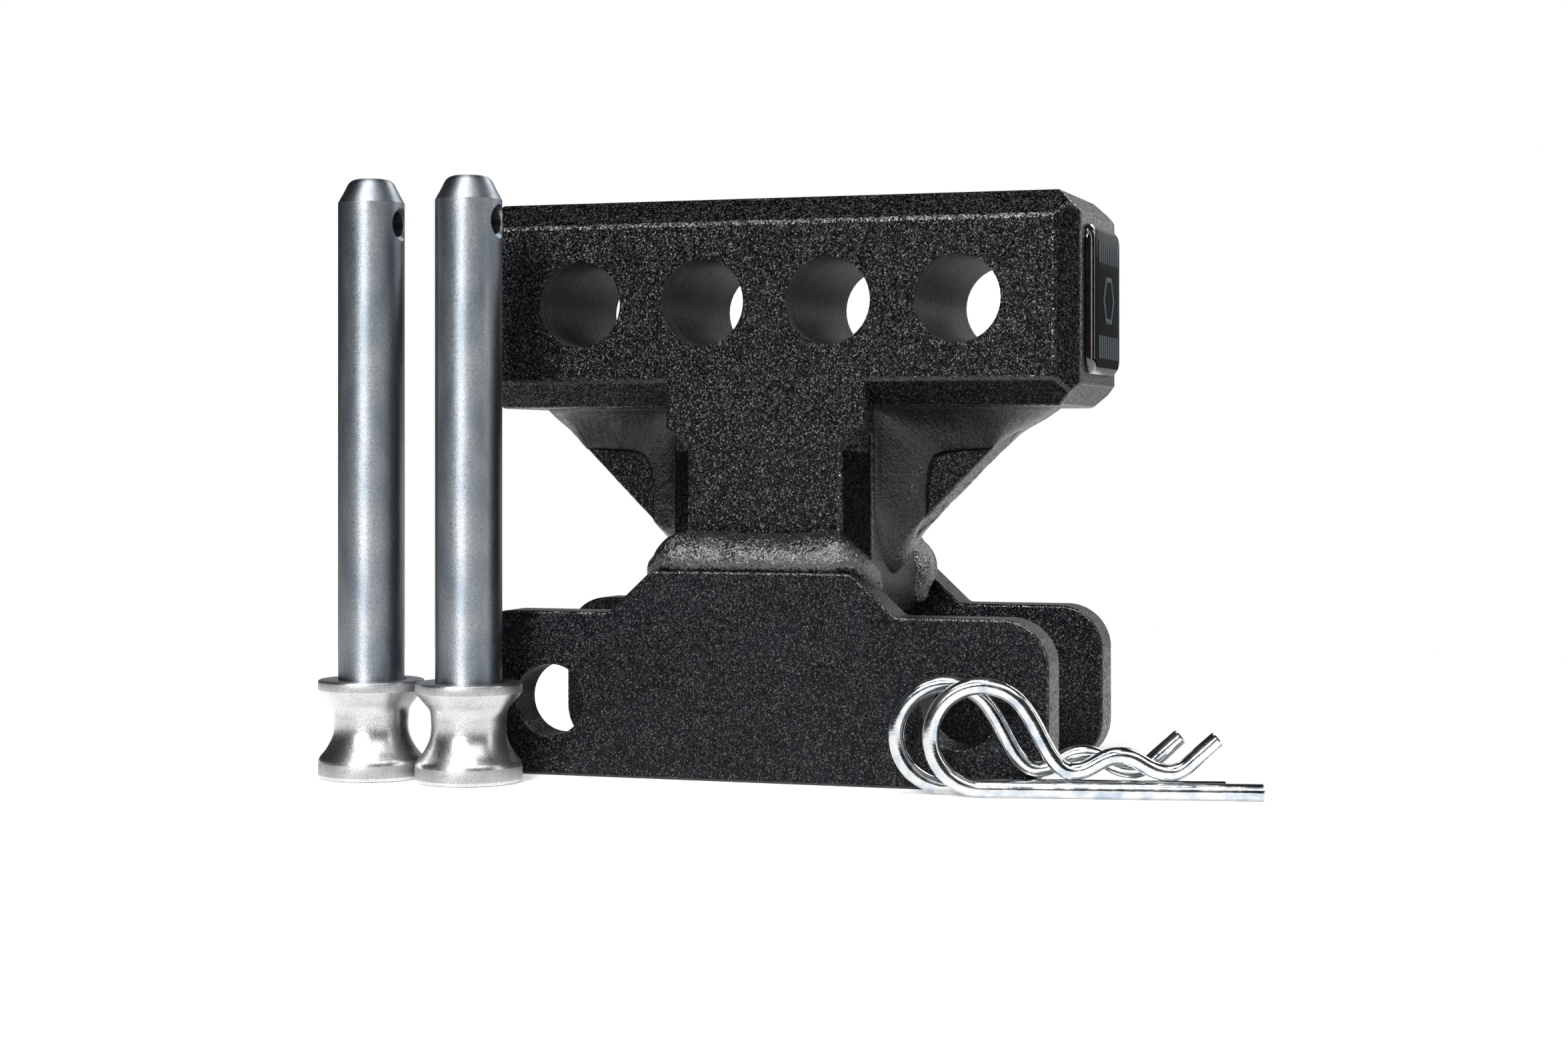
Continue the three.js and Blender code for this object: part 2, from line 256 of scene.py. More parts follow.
def lathe(bm, profile, segments):
    """A closed body turned about Z. The profile's first and last radius are zero."""
    turns = [2 * math.pi * i / segments for i in range(segments)]
    foot = bm.verts.new((0, 0, profile[0][1]))
    tip = bm.verts.new((0, 0, profile[-1][1]))
    rows = [
        [bm.verts.new((r * math.cos(a), r * math.sin(a), z)) for a in turns]
        for r, z in profile[1:-1]
    ]
    for i in range(segments):
        j = (i + 1) % segments
        bm.faces.new((foot, rows[0][j], rows[0][i]))
        bm.faces.new((tip, rows[-1][i], rows[-1][j]))
        for low, high in zip(rows, rows[1:]):
            bm.faces.new((low[i], low[j], high[j], high[i]))


def smooth_through(points, steps):
    """A smooth line through a few (radius, height) points, by Catmull-Rom pieces."""
    padded = [points[0], *points, points[-1]]
    line = []
    for a, b, c, d in zip(padded, padded[1:], padded[2:], padded[3:]):
        for i in range(steps):
            t = i / steps
            line.append(tuple(
                0.5 * (2 * q + (r - p) * t + (2 * p - 5 * q + 4 * r - s) * t**2
                       + (3 * q - p - 3 * r + s) * t**3)
                for p, q, r, s in zip(a, b, c, d)
            ))
    return [*line, points[-1]]


def bezier(a, b, c, d, steps):
    """Points of a cubic curve, without its first one."""
    line = []
    for i in range(1, steps + 1):
        t = i / steps
        u = 1 - t
        line.append(tuple(
            u**3 * p + 3 * u**2 * t * q + 3 * u * t**2 * r + t**3 * s
            for p, q, r, s in zip(a, b, c, d)
        ))
    return line


def smoothstep(low, high, value):
    """0 below low, 1 above high and a smooth rise between them."""
    t = min(max((value - low) / (high - low), 0), 1)
    return t * t * (3 - 2 * t)


def wander(point, spacing, seed=0.0):
    """Smooth noise between -1 and 1 that varies over the given spacing."""
    return noise.noise(point / spacing + Vector((seed, 2 * seed, -seed)))


# ---------------- material helpers
# A colour Mix node's sockets: its two colours and its result.
MIX_A, MIX_B, MIX_RESULT = 6, 7, 2


def new_material(name, **sockets):
    """A new material with its node tree and shader. Uniform values go straight on the shader."""
    material = bpy.data.materials.new(name)
    material.use_nodes = True
    shader = material.node_tree.nodes["Principled BSDF"]
    for socket, value in sockets.items():
        shader.inputs[socket.replace("_", " ")].default_value = value
    return material, material.node_tree, shader


def add_node(tree, kind, sockets=(), **settings):
    """A shader node. A socket value that is itself a socket is linked."""
    made = tree.nodes.new("ShaderNode" + kind)
    for name, value in settings.items():
        setattr(made, name, value)
    for name, value in dict(sockets).items():
        if isinstance(value, bpy.types.NodeSocket):
            tree.links.new(value, made.inputs[name])
        else:
            made.inputs[name].default_value = value
    return made


def millimetres(tree, stretch=(1, 1, 1)):
    """The piece's own coordinates in millimetres, stretched along an axis for lines and grain."""
    coordinates = add_node(tree, "TexCoord")
    scale = tuple(s / MM for s in stretch)
    mapping = add_node(tree, "Mapping", {"Vector": coordinates.outputs["Object"], "Scale": scale})
    return mapping.outputs["Vector"]


def noise_of(tree, vector, scale, detail=2.0, roughness=0.5):
    """Smooth noise with about scale waves in a millimetre."""
    texture = add_node(tree, "TexNoise", {
        "Vector": vector, "Scale": scale, "Detail": detail, "Roughness": roughness,
    })
    return texture.outputs["Fac"]


def ranged(tree, value, low, high, to_low, to_high):
    """The value's span from low to high stretched onto another span, and held at its ends."""
    mapped = add_node(tree, "MapRange", {
        "Value": value, "From Min": low, "From Max": high, "To Min": to_low, "To Max": to_high,
    })
    return mapped.outputs["Result"]


def mixed_colour(tree, factor, a, b):
    """Colour a where the factor is 0, colour b where it is 1."""
    a, b = (c if isinstance(c, bpy.types.NodeSocket) else (*c, 1) for c in (a, b))
    mix = add_node(tree, "Mix", {"Factor": factor, MIX_A: a, MIX_B: b}, data_type="RGBA")
    return mix.outputs[MIX_RESULT]


def bump(tree, height, depth, normal=None):
    """A normal disturbed by the given height, over the given depth in metres."""
    sockets = {"Height": height, "Distance": depth, "Strength": 1.0}
    if normal is not None:
        sockets["Normal"] = normal
    return add_node(tree, "Bump", sockets).outputs["Normal"]


def surface(tree, shader, colour, roughness, normal):
    """Gives a shader its colour, roughness and normal."""
    tree.links.new(colour, shader.inputs["Base Color"])
    tree.links.new(roughness, shader.inputs["Roughness"])
    tree.links.new(normal, shader.inputs["Normal"])


# ---------------- coated steel
def tilted_facets(tree, place, scale, tilt):
    """The surface's normal, leaned a different way in each small cell, as on a pebbled coat.

    tilt is (usual, extra): every cell leans a little, and a few of them lean much further.
    """
    usual, extra = tilt
    cells = add_node(tree, "TexVoronoi", {"Vector": place, "Scale": scale})
    centred = add_node(tree, "VectorMath", {0: cells.outputs["Color"], 1: (0.5, 0.5, 0.5)},
                       operation="SUBTRACT").outputs[0]
    size = add_node(tree, "VectorMath", {0: centred}, operation="ABSOLUTE").outputs[0]
    lean = add_node(tree, "VectorMath", {0: size, 1: (extra,) * 3, 2: (usual,) * 3},
                    operation="MULTIPLY_ADD").outputs[0]
    leaned = add_node(tree, "VectorMath", {0: centred, 1: lean}, operation="MULTIPLY").outputs[0]
    normal = add_node(tree, "NewGeometry").outputs["Normal"]
    summed = add_node(tree, "VectorMath", {0: normal, 1: leaned}, operation="ADD").outputs[0]
    return add_node(tree, "VectorMath", {0: summed}, operation="NORMALIZE").outputs[0]


def powder_coat(name, grain, tilt, tint, roughness, glint_lightness=0.085, specular=0.19):
    """Black pebbled powder coat whose facets glint, with a few pale flecks among them painted into its
    colour as glints.

    grain is how many facets fit in a millimetre, and the argument after roughness is how light the painted
    glints are.
    """
    material, tree, shader = new_material(name, Specular_IOR_Level=specular)
    place = millimetres(tree)
    ripple = noise_of(tree, place, 0.45 * grain, 3, 0.6)
    swell = noise_of(tree, place, 0.12, 2)
    low = tuple(0.4 * c for c in tint)
    dark = mixed_colour(tree, ranged(tree, swell, 0.35, 0.65, 0, 1), low, tint)
    # Painted glints: pale flecks in the colour, which stand in for glints whether light reaches them or
    # not.
    glint_cells = add_node(tree, "TexVoronoi", {"Vector": place, "Scale": 1.15 * grain})
    pale = ranged(tree, glint_cells.outputs["Color"], 0.72, 0.92, 0, 1)
    colour = mixed_colour(tree, pale, dark, (glint_lightness, glint_lightness, 1.04 * glint_lightness))
    gloss = ranged(tree, ripple, 0.3, 0.7, roughness - 0.06, roughness + 0.1)
    facets = tilted_facets(tree, place, grain, tilt)
    surface(tree, shader, colour, gloss, bump(tree, ripple, 0.16 * MM, facets))
    return material


def bored_steel():
    """The coat inside a drilled hole, with fine rings left by the drill."""
    material, tree, shader = new_material("bored_steel", Specular_IOR_Level=0.15)
    rings = noise_of(tree, millimetres(tree, (0.06, 1.9, 0.06)), 1.0, 4, 0.65)
    grain = noise_of(tree, millimetres(tree), 2.6, 2)
    colour = mixed_colour(tree, ranged(tree, rings, 0.46, 0.6, 0, 1),
                          (0.0004, 0.0004, 0.0004), (0.055, 0.055, 0.056))
    gloss = ranged(tree, grain, 0.3, 0.7, 0.3, 0.5)
    ringed = bump(tree, rings, 0.9 * MM)
    surface(tree, shader, colour, gloss, bump(tree, grain, 0.15 * MM, ringed))
    return material


def cut_edge():
    """The coat over a flame-cut edge: greyer, finer, with drag lines across the plate."""
    material, tree, shader = new_material("cut_edge", Specular_IOR_Level=0.35)
    place = millimetres(tree)
    lines = noise_of(tree, millimetres(tree, (1.6, 0.12, 1.6)), 1.0, 3)
    grain = noise_of(tree, place, 3.0, 2)
    pits = ranged(tree, noise_of(tree, place, 1.1, 3, 0.6), 0.34, 0.46, 0, 1)
    grey = mixed_colour(tree, lines, (0.012, 0.012, 0.013), (0.04, 0.04, 0.042))
    colour = mixed_colour(tree, pits, (0.001, 0.001, 0.001), grey)
    gloss = ranged(tree, pits, 0, 1, 0.7, 0.36)
    lined = bump(tree, lines, 0.12 * MM, tilted_facets(tree, place, 2.3, (0.5, 0.8)))
    surface(tree, shader, colour, gloss, bump(tree, grain, 0.1 * MM, lined))
    return material


def coated_bead(name, specular, tilt):
    """Powder coat that has flowed smoother over a weld bead, with small soft pebbles left in it."""
    material, tree, shader = new_material(name, Specular_IOR_Level=specular)
    place = millimetres(tree)
    grain = noise_of(tree, place, 1.5, 3, 0.6)
    patches = noise_of(tree, place, 0.25, 2)
    colour = mixed_colour(tree, patches, (0.003, 0.003, 0.0035), (0.009, 0.009, 0.01))
    gloss = ranged(tree, patches, 0.3, 0.7, 0.14, 0.22)
    facets = tilted_facets(tree, place, 2.4, tilt)
    surface(tree, shader, colour, gloss, bump(tree, grain, 0.34 * MM, facets))
    return material


def badge_plastic(name, specular):
    """Moulded black plastic, faintly uneven in its gloss."""
    material, tree, shader = new_material(name, Specular_IOR_Level=specular)
    place = millimetres(tree)
    haze = noise_of(tree, place, 0.35, 3)
    orange_peel = noise_of(tree, place, 0.9, 2)
    colour = mixed_colour(tree, haze, (0.002, 0.002, 0.0025), (0.006, 0.006, 0.007))
    gloss = ranged(tree, haze, 0.3, 0.7, 0.07, 0.16)
    surface(tree, shader, colour, gloss, bump(tree, orange_peel, 0.01 * MM))
    return material


def satin_emblem():
    """The badge's raised marks: blue-grey satin with a faint grain."""
    material, tree, shader = new_material("badge_emblem", Specular_IOR_Level=0.01)
    grain = noise_of(tree, millimetres(tree), 2.5, 3)
    colour = mixed_colour(tree, grain, (0.035, 0.045, 0.048), (0.09, 0.112, 0.116))
    gloss = ranged(tree, grain, 0.3, 0.7, 0.3, 0.45)
    surface(tree, shader, colour, gloss, bump(tree, grain, 0.02 * MM))
    return material


# ---------------- bare metals
def turned_metal(name, colours, roughness, line_depth, speckle_depth, stretch):
    """Turned and plated steel: fine lines round the axis, which smear highlights along it, and speckle."""
    material, tree, shader = new_material(
        name, Metallic=1.0, Anisotropic=stretch, Anisotropic_Rotation=0.25)
    lines = noise_of(tree, millimetres(tree, (0.12, 0.12, 7.0)), 1.0, 3, 0.6)
    speckle = noise_of(tree, millimetres(tree), 5.0, 2, 0.6)
    clouds = noise_of(tree, millimetres(tree, (1, 1, 0.35)), 0.16, 2)
    colour = mixed_colour(tree, ranged(tree, clouds, 0.35, 0.65, 0, 1), *colours)
    shaded = mixed_colour(tree, ranged(tree, speckle, 0.25, 0.6, 0, 1),
                          tuple(0.4 * c for c in colours[0]), colour)
    gloss = ranged(tree, speckle, 0.3, 0.7, roughness - 0.06, roughness + 0.08)
    lined = bump(tree, lines, line_depth)
    surface(tree, shader, shaded, gloss, bump(tree, speckle, speckle_depth, lined))
    around = add_node(tree, "Tangent", direction_type="RADIAL", axis="Z")
    tree.links.new(around.outputs["Tangent"], shader.inputs["Tangent"])
    return material


def zinc_wire():
    """Bright drawn wire with faint clouding and short draw lines."""
    material, tree, shader = new_material("zinc_wire", Metallic=1.0)
    lines = noise_of(tree, millimetres(tree, (0.25, 2.5, 2.5)), 1.0, 2)
    clouds = noise_of(tree, millimetres(tree), 0.25, 3)
    share = ranged(tree, clouds, 0.32, 0.52, 0, 1)
    colour = mixed_colour(tree, share, (0.4, 0.45, 0.52), (0.63, 0.64, 0.63))
    gloss = ranged(tree, clouds, 0.3, 0.7, 0.1, 0.2)
    surface(tree, shader, colour, gloss, bump(tree, lines, 0.02 * MM))
    return material


# Each coat: facets in a millimetre, (usual, extra) lean, tint, roughness, lightness of its painted glints,
# specular.
COAT_COARSE = powder_coat("powder_coat_coarse", 2.9, (0.42, 0.8), (0.002, 0.0021, 0.003), 0.17)
COAT_FINE = powder_coat(
    "powder_coat_fine", 3.3, (0.4, 0.8), (0.0022, 0.0026, 0.0042), 0.19, 0.075, 0.15)
COAT_EDGE = powder_coat("powder_coat_edge", 2.4, (0.2, 0.6), (0.003, 0.003, 0.0036), 0.2, 0.05, 0.5)
# The bar's chamfers: a darker copy of the coarse coat, with dimmer flecks and less shine, which paints
# shade onto them.
COAT_CHAMFER_PAINTED_SHADE = powder_coat(
    "powder_coat_chamfer_painted_shade", 2.9, (0.36, 0.7), (0.0016, 0.0016, 0.002), 0.17, 0.05, 0.12)
# Painted shade: a near-black coat with almost no pale flecks or shine, for the neck's chamfers and the
# gusset welds' edge on the gusset face.
COAT_PAINTED_SHADE = powder_coat(
    "powder_coat_painted_shade", 2.4, (0.08, 0.3), (0.001, 0.001, 0.0012), 0.2, 0.008, 0.09)
# Painted light: a lighter, glossier copy of the coat for the faces turned to the right.
COAT_SIDE_PAINTED_LIGHT = powder_coat("powder_coat_side_painted_light", 2.9, (0.1, 0.3), (0.003, 0.003, 0.0034), 0.24, 0.04, 0.45)
BORE = bored_steel()
CUT_EDGE = cut_edge()
BEAD = coated_bead("coated_bead", 0.45, (0.1, 0.35))
GLOSSY_BEAD = coated_bead("glossy_bead", 1.3, (0.3, 0.8))
BADGE_RIM = badge_plastic("badge_rim", 1.0)
BADGE_FACE = badge_plastic("badge_face", 0.003)
EMBLEM = satin_emblem()
SHAFT_STEEL = turned_metal(
    "shaft_steel", ((0.26, 0.3, 0.34), (0.44, 0.46, 0.48)), 0.42, 0.008 * MM, 0.04 * MM, 0.78)
HEAD_METAL = turned_metal(
    "head_metal", ((0.66, 0.67, 0.68), (0.76, 0.76, 0.76)), 0.3, 0.006 * MM, 0.015 * MM, 0.35)
BAND_METAL = turned_metal(
    "head_band_metal", ((0.46, 0.47, 0.48), (0.58, 0.58, 0.58)), 0.5, 0.01 * MM, 0.05 * MM, 0.1)
ZINC = zinc_wire()


# ---------------- bar, neck and plates
def is_bore(face):
    """A bore's facets run through its part, along Y, and are only a millimetre or two wide."""
    spans = [max(v.co[i] for v in face.verts) - min(v.co[i] for v in face.verts) for i in (0, 2)]
    return math.hypot(*spans) < BORE_FACET_WIDTH and abs(face.normal.y) < 0.01


def round_arrises(bm, edges, width):
    """Rounds the edges with faces that go into the arris slot."""
    bmesh.ops.bevel(
        bm, geom=edges, offset=width, offset_type="OFFSET", segments=3,
        profile=0.5, affect="EDGES", clamp_overlap=True, loop_slide=True,
        material=ARRIS)


def machined_copy(node, materials):
    """A CAD node's shape with its facets merged and its arrises rounded.

    The materials follow the slots: flats, arrises, bores, chamfers and right-hand side. The chamfers take
    a darker coat as painted shade, and the right-hand side a lighter, glossier coat as painted light.
    """
    bm = bmesh.new()
    bm.from_mesh(frame["nodes"][node].data)
    bmesh.ops.remove_doubles(bm, verts=bm.verts, dist=MERGE_DISTANCE)
    bmesh.ops.dissolve_limit(bm, angle_limit=math.radians(1), verts=bm.verts, edges=bm.edges)
    for face in bm.faces:
        if is_bore(face):
            face.material_index = IN_BORE
        # Chamfers get a darker coat: painted shade.
        elif max(abs(c) for c in face.normal) < 0.9:
            face.material_index = CHAMFERED_PAINTED_SHADE
        # Faces turned to the right get a lighter, glossier coat: painted light.
        elif face.normal.x > 0.9:
            face.material_index = RIGHT_SIDE_PAINTED_LIGHT
        else:
            face.material_index = FLAT
    arrises = [
        e for e in bm.edges
        if len(e.link_faces) == 2 and e.calc_face_angle() > math.radians(25)
        and all(f.material_index != IN_BORE for f in e.link_faces)
    ]
    round_arrises(bm, arrises, EDGE_ROUNDING)
    rims = [e for e in bm.edges if {f.material_index for f in e.link_faces} == {FLAT, IN_BORE}]
    round_arrises(bm, rims, BORE_ROUNDING)
    weigh_normals(seat(link_mesh(node + "_coated", bm, materials), "hitch", node))


def arc(centre, radius, start, end, steps):
    """Points of an arc in the plate's plane, as (x, z). Angles in degrees."""
    turns = [math.radians(start + (end - start) * i / steps) for i in range(steps + 1)]
    return [(centre[0] + radius * math.cos(a), centre[1] + radius * math.sin(a)) for a in turns]


def plate_outline():
    """The clevis plate from in front: rounded ears and a raised saddle under the neck."""
    left = PLATE_LO.x + EAR_RADIUS
    right = PLATE_HI.x - EAR_RADIUS
    low = EAR_RADIUS
    high = EAR_HEIGHT - EAR_RADIUS
    saddle = PLATE_HI.z
    foot = SADDLE_HALF_WIDTH + SHOULDER_RUN
    # Control points of the curves at the slope's foot and at its top.
    toe = [(foot + 2 * MM, EAR_HEIGHT), (foot, EAR_HEIGHT), (foot, EAR_HEIGHT),
           (foot - 1.4 * MM, EAR_HEIGHT + 1.4 * MM)]
    top = [
        (SADDLE_HALF_WIDTH + 1.9 * MM, saddle - 1.9 * MM),
        (SADDLE_HALF_WIDTH + 0.3 * MM, saddle - 0.3 * MM),
        (SADDLE_HALF_WIDTH - 0.6 * MM, saddle),
        (SADDLE_HALF_WIDTH - 2.9 * MM, saddle),
    ]
    slope = [toe[0], *bezier(*toe, 6), top[0], *bezier(*top, 8)]
    shoulders = [(MIDDLE.x + x, z) for x, z in slope]
    shoulders += [(MIDDLE.x - x, z) for x, z in reversed(slope)]

    def ear(x, z, start):
        return arc((x, z), EAR_RADIUS, start, start + 90, EAR_STEPS)

    return [*ear(right, low, -90), *ear(right, high, 0), *shoulders,
            *ear(left, high, 90), *ear(left, low, 180)]


def flat_solid(name, loops, thickness, rounding):
    """A bmesh of a flat outline with holes, centred on its mid-plane, with rounded arrises."""
    curve = bpy.data.curves.new(name, "CURVE")
    curve.dimensions = "2D"
    curve.fill_mode = "BOTH"
    curve.extrude = thickness / 2 - rounding
    curve.bevel_depth = rounding
    curve.bevel_resolution = 2
    curve.offset = -rounding
    for loop in loops:
        spline = curve.splines.new("POLY")
        spline.points.add(len(loop) - 1)
        spline.use_cyclic_u = True
        for point, (a, b) in zip(spline.points, loop):
            point.co = (a, b, 0, 1)
    shape = add_object(name, curve)
    bpy.context.view_layer.update()
    mesh = bpy.data.meshes.new_from_object(shape.evaluated_get(bpy.context.evaluated_depsgraph_get()))
    bpy.data.objects.remove(shape)
    bm = bmesh.new()
    bm.from_mesh(mesh)
    bmesh.ops.remove_doubles(bm, verts=bm.verts, dist=MERGE_DISTANCE)
    return bm


def clevis_plate(end):
    """A plate with a hole in each ear, its outer edge cut rough and its rims smooth."""
    lo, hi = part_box("clevis_plate_" + end)
    holes = [(MIDDLE.x + side * PIN_HOLE_SPACING / 2, PIN_HOLE_HEIGHT) for side in (-1, 1)]
    last = 360 - 360 / PIN_HOLE_STEPS
    rims = [arc(hole, PIN_HOLE_RADIUS, 0, last, PIN_HOLE_STEPS - 1) for hole in holes]
    materials = [COAT_FINE, BORE, CUT_EDGE, COAT_EDGE]
    bm = flat_solid("plate", [plate_outline(), *rims], hi.y - lo.y, RIM_ROUNDING)
    upright = Matrix.Translation((0, (lo.y + hi.y) / 2, 0)) @ Matrix.Rotation(math.pi / 2, 4, "X")
    bmesh.ops.transform(bm, matrix=upright, verts=bm.verts)
    bmesh.ops.recalc_face_normals(bm, faces=bm.faces)
    for face in bm.faces:
        middle = face.calc_center_median()
        in_hole = any(math.hypot(middle.x - x, middle.z - z) < PIN_HOLE_RADIUS + RIM_ROUNDING
                      for x, z in holes)
        across = abs(face.normal.y)
        if across > 0.99 or face.normal.z > 0.6 and across < 0.1:
            face.material_index = materials.index(COAT_FINE)
        elif across > 0.1:
            face.material_index = materials.index(COAT_EDGE)
        else:
            face.material_index = materials.index(BORE if in_hole else CUT_EDGE)
    node = "clevis_plate_" + end
    weigh_normals(seat(link_mesh(node + "_coated", bm, materials), "hitch", node))


# ---------------- gussets
def corner_point(side, facing, out, down, proud):
    """A point by the corner of neck and bar: out from the neck, down from the bar, proud of the gusset."""
    return Vector((
        MIDDLE.x + SIGN[side] * (HALF_NECK + out),
        MIDDLE.y + FACE_SIGN[facing] * (HALF_GUSSET + proud),
        UNDER_BAR - down,
    ))


def gusset_leg(side):
    """How far a gusset reaches along the bar, and just as far down the neck."""
    lo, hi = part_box("gusset_" + side)
    return hi.x - lo.x


def cut_line(side, along, across):
    """How far the flame-cut edge stands off its true plane: drag lines that lean across the plate."""
    lean = along + 0.12 * across
    wave = wander(Vector((lean, 0, 0)), 1.3 * MM, 3 + SIGN[side])
    ragged = wander(Vector((lean, across, 0)), 3.5 * MM, 7 + SIGN[side])
    return 0.11 * MM * wave + 0.14 * MM * ragged


def gusset(side):
    """A corner plate whose long edge is flame-cut."""
    leg = gusset_leg(side)
    depth = 2 * HALF_GUSSET
    rounding = GUSSET_ROUNDING
    across = [0, GUSSET_FIRST_STEP, rounding]
    across += [rounding + (depth - 2 * rounding) * i / 8 for i in range(1, 8)]
    across += [depth - rounding, depth - GUSSET_FIRST_STEP, depth]
    bm = bmesh.new()

    def pair(out, down):
        return [bm.verts.new(corner_point(side, "rear", out, down, y - depth)) for y in (0, depth)]

    rows = []
    for i in range(GUSSET_STEPS + 1):
        share = i / GUSSET_STEPS
        row = []
        for y in across:
            inset = rounding - math.sqrt(max(
                rounding**2 - max(rounding - y, y - depth + rounding, 0) ** 2, 0))
            stand = (cut_line(side, share * leg * LONG_EDGE, y) - inset) / math.sqrt(2)
            row.append(bm.verts.new(corner_point(
                side, "rear", leg * (1 - share) + stand, leg * share + stand, y - depth)))
        rows.append(row)
    corner = pair(-EMBED, -EMBED)
    top = pair(leg, -EMBED)
    foot = pair(-EMBED, leg)
    for a, b in zip(rows, rows[1:]):
        for i in range(len(across) - 1):
            bm.faces.new((a[i], a[i + 1], b[i + 1], b[i])).material_index = 1
    for end in (0, -1):
        bm.faces.new([corner[end], top[end], *(row[end] for row in rows), foot[end]])
    bm.faces.new([top[0], top[1], *reversed(rows[0])])
    bm.faces.new([foot[0], foot[1], *reversed(rows[-1])])
    bm.faces.new([corner[0], corner[1], top[1], top[0]])
    bm.faces.new([corner[0], corner[1], foot[1], foot[0]])
    name = "gusset_" + side
    seat(link_mesh(name + "_coated", bm, [COAT_FINE, CUT_EDGE]), "hitch", name)


# ---------------- welds
def bead_ripple(along, across):
    """The height of a bead's frozen ripples; across runs 0 to 1 from toe to toe."""
    arch = 1.1 * math.sin(math.pi * across)
    drift = 0.6 * wander(Vector((along, 0, 0)), 3 * MM, 15)
    return math.sin(2 * math.pi * (along / RIPPLE_PITCH + arch + drift)) * math.sin(math.pi * across)


def fillet_section(side, facing, leg, share):
    """One section of a gusset's weld: -1 is its nose under the bar, 0 the corner, 1 its toe on the neck.

    Gives the buried points that start and end it, and the shown points between, toe to toe.
    """
    run = abs(share)
    reach = leg + (NOSE_LENGTH[side] if share < 0 else TOE_LENGTH)
    widest = FILLET_FACE_LEG + FILLET_CORNER
    foot = leg - NOSE_FOOT

    def world(point):
        along, off, proud = point
        out, down = (along, off) if share < 0 else (off, along)
        return corner_point(side, facing, out, down, proud)

    start = reach * run
    taper = min(max((start - FILLET_TAPER_START) / (reach - FILLET_TAPER_START), 0), 1)
    edge = 0.35 * MM * wander(world((start, 0, 0)), 4 * MM, 1) * (1 - taper)
    proud = (FILLET_DEPTH_LEG + edge + HALF_GUSSET) * math.sqrt(1 - taper**2) - HALF_GUSSET
    face_run = widest + (foot - widest) * run
    face_off = FILLET_FACE_LEG + FILLET_CORNER**2 / (face_run - FILLET_FACE_LEG) + edge
    wrap = smoothstep((leg - FILLET_FACE_LEG - widest) / (foot - widest), 1, run)
    face_proud = -HALF_GUSSET * wrap
    root_run = (start + face_run - widest * (1 - run) ** 4) / 2
    root_proud = min(0, proud, face_proud)

    toe = Vector((start, 0, proud))
    face_toe = Vector((face_run, min(face_off, leg - face_run), face_proud))
    root = Vector((root_run, 0, root_proud))
    control = root + ((toe + face_toe) / 2 - root) * (0.6 + taper**2)
    turned = EMBED if run < 0.1 else 0
    buried = (Vector((start - turned, -EMBED, proud)),
              face_toe + Vector((-wrap, -wrap, wrap - 1)) * EMBED,
              Vector((root_run - turned, -EMBED, min(-EMBED, root_proud))))
    shares = [i / FILLET_STEPS for i in range(FILLET_STEPS + 1)]
    shown = [(1 - t) ** 2 * toe + 2 * t * (1 - t) * control + t * t * face_toe for t in shares]
    return [world(p) for p in buried], [world(p) for p in shown], 1 - 0.7 * taper


def pooled(sections, index, step):
    """A section's point, averaged along the bead so that its two runs flow together in the corner."""
    near = sections[max(index - POOL_REACH, 0):index + POOL_REACH + 1]
    mean = sum((shown[step] for _, shown, _ in near), Vector()) / len(near)
    evened = 1 - smoothstep(0, 0.35, abs(2 * index / FILLET_STATIONS - 1))
    return sections[index][1][step].lerp(mean, evened * math.sin(math.pi * step / FILLET_STEPS))


def bead_relief(point, along, t):
    """How far a bead's skin stands off its smooth shape: slow swell, ripples and full edges.

    t runs from 0 at the toe on bar and neck to 1 at the edge on the gusset's face.
    """
    bow = math.sin(math.pi * t)
    swell = 0.3 * wander(point, 6 * MM, 5) + 0.1 * wander(point, 2 * MM, 9)
    rolled = 0.25 * math.exp(-((t - 0.07) / 0.05) ** 2) + 0.9 * smoothstep(0.45, 0.9, t) * (1 - t**18)
    return MM * (swell * bow + 0.06 * bead_ripple(along, t) + rolled)


def gusset_weld(side, facing):
    """The fillet weld in a gusset's corner, from its nose under the bar to its toe on the neck."""
    leg = gusset_leg(side)
    shares = [math.sin(math.pi / 2 * (2 * i / FILLET_STATIONS - 1))
              for i in range(FILLET_STATIONS + 1)]
    sections = [fillet_section(side, facing, leg, share) for share in shares]
    corner = corner_point(side, facing, 0, 0, 0)
    bm = bmesh.new()
    rings = []
    for i, ((first, second, third), _, fade) in enumerate(sections):
        skin = [pooled(sections, i, step) for step in range(FILLET_STEPS + 1)]
        root = corner.lerp(third, min(abs(shares[i]) * 3, 1))
        outward = ((skin[0] + skin[-1]) / 2 - root).normalized()
        skin = [p + outward * fade * bead_relief(p, leg * shares[i], step / FILLET_STEPS)
                for step, p in enumerate(skin)]
        rings.append([first, *skin, second, third])
    rows = add_rings(bm, rings)
    # The skin's last steps, where it drops to the gusset's face, keep a darker coat: a painted shadow line
    # along that edge.
    painted_shade_lip = {vert for row in rows for vert in row[FILLET_STEPS - 1:FILLET_STEPS + 3]}
    for face in bm.faces:
        face.material_index = 1 if all(vert in painted_shade_lip for vert in face.verts) else 0
    name = f"weld_gusset_{side}_{facing}"
    seat(link_mesh(name + "_bead", bm, [BEAD, COAT_PAINTED_SHADE]), "hitch", name)


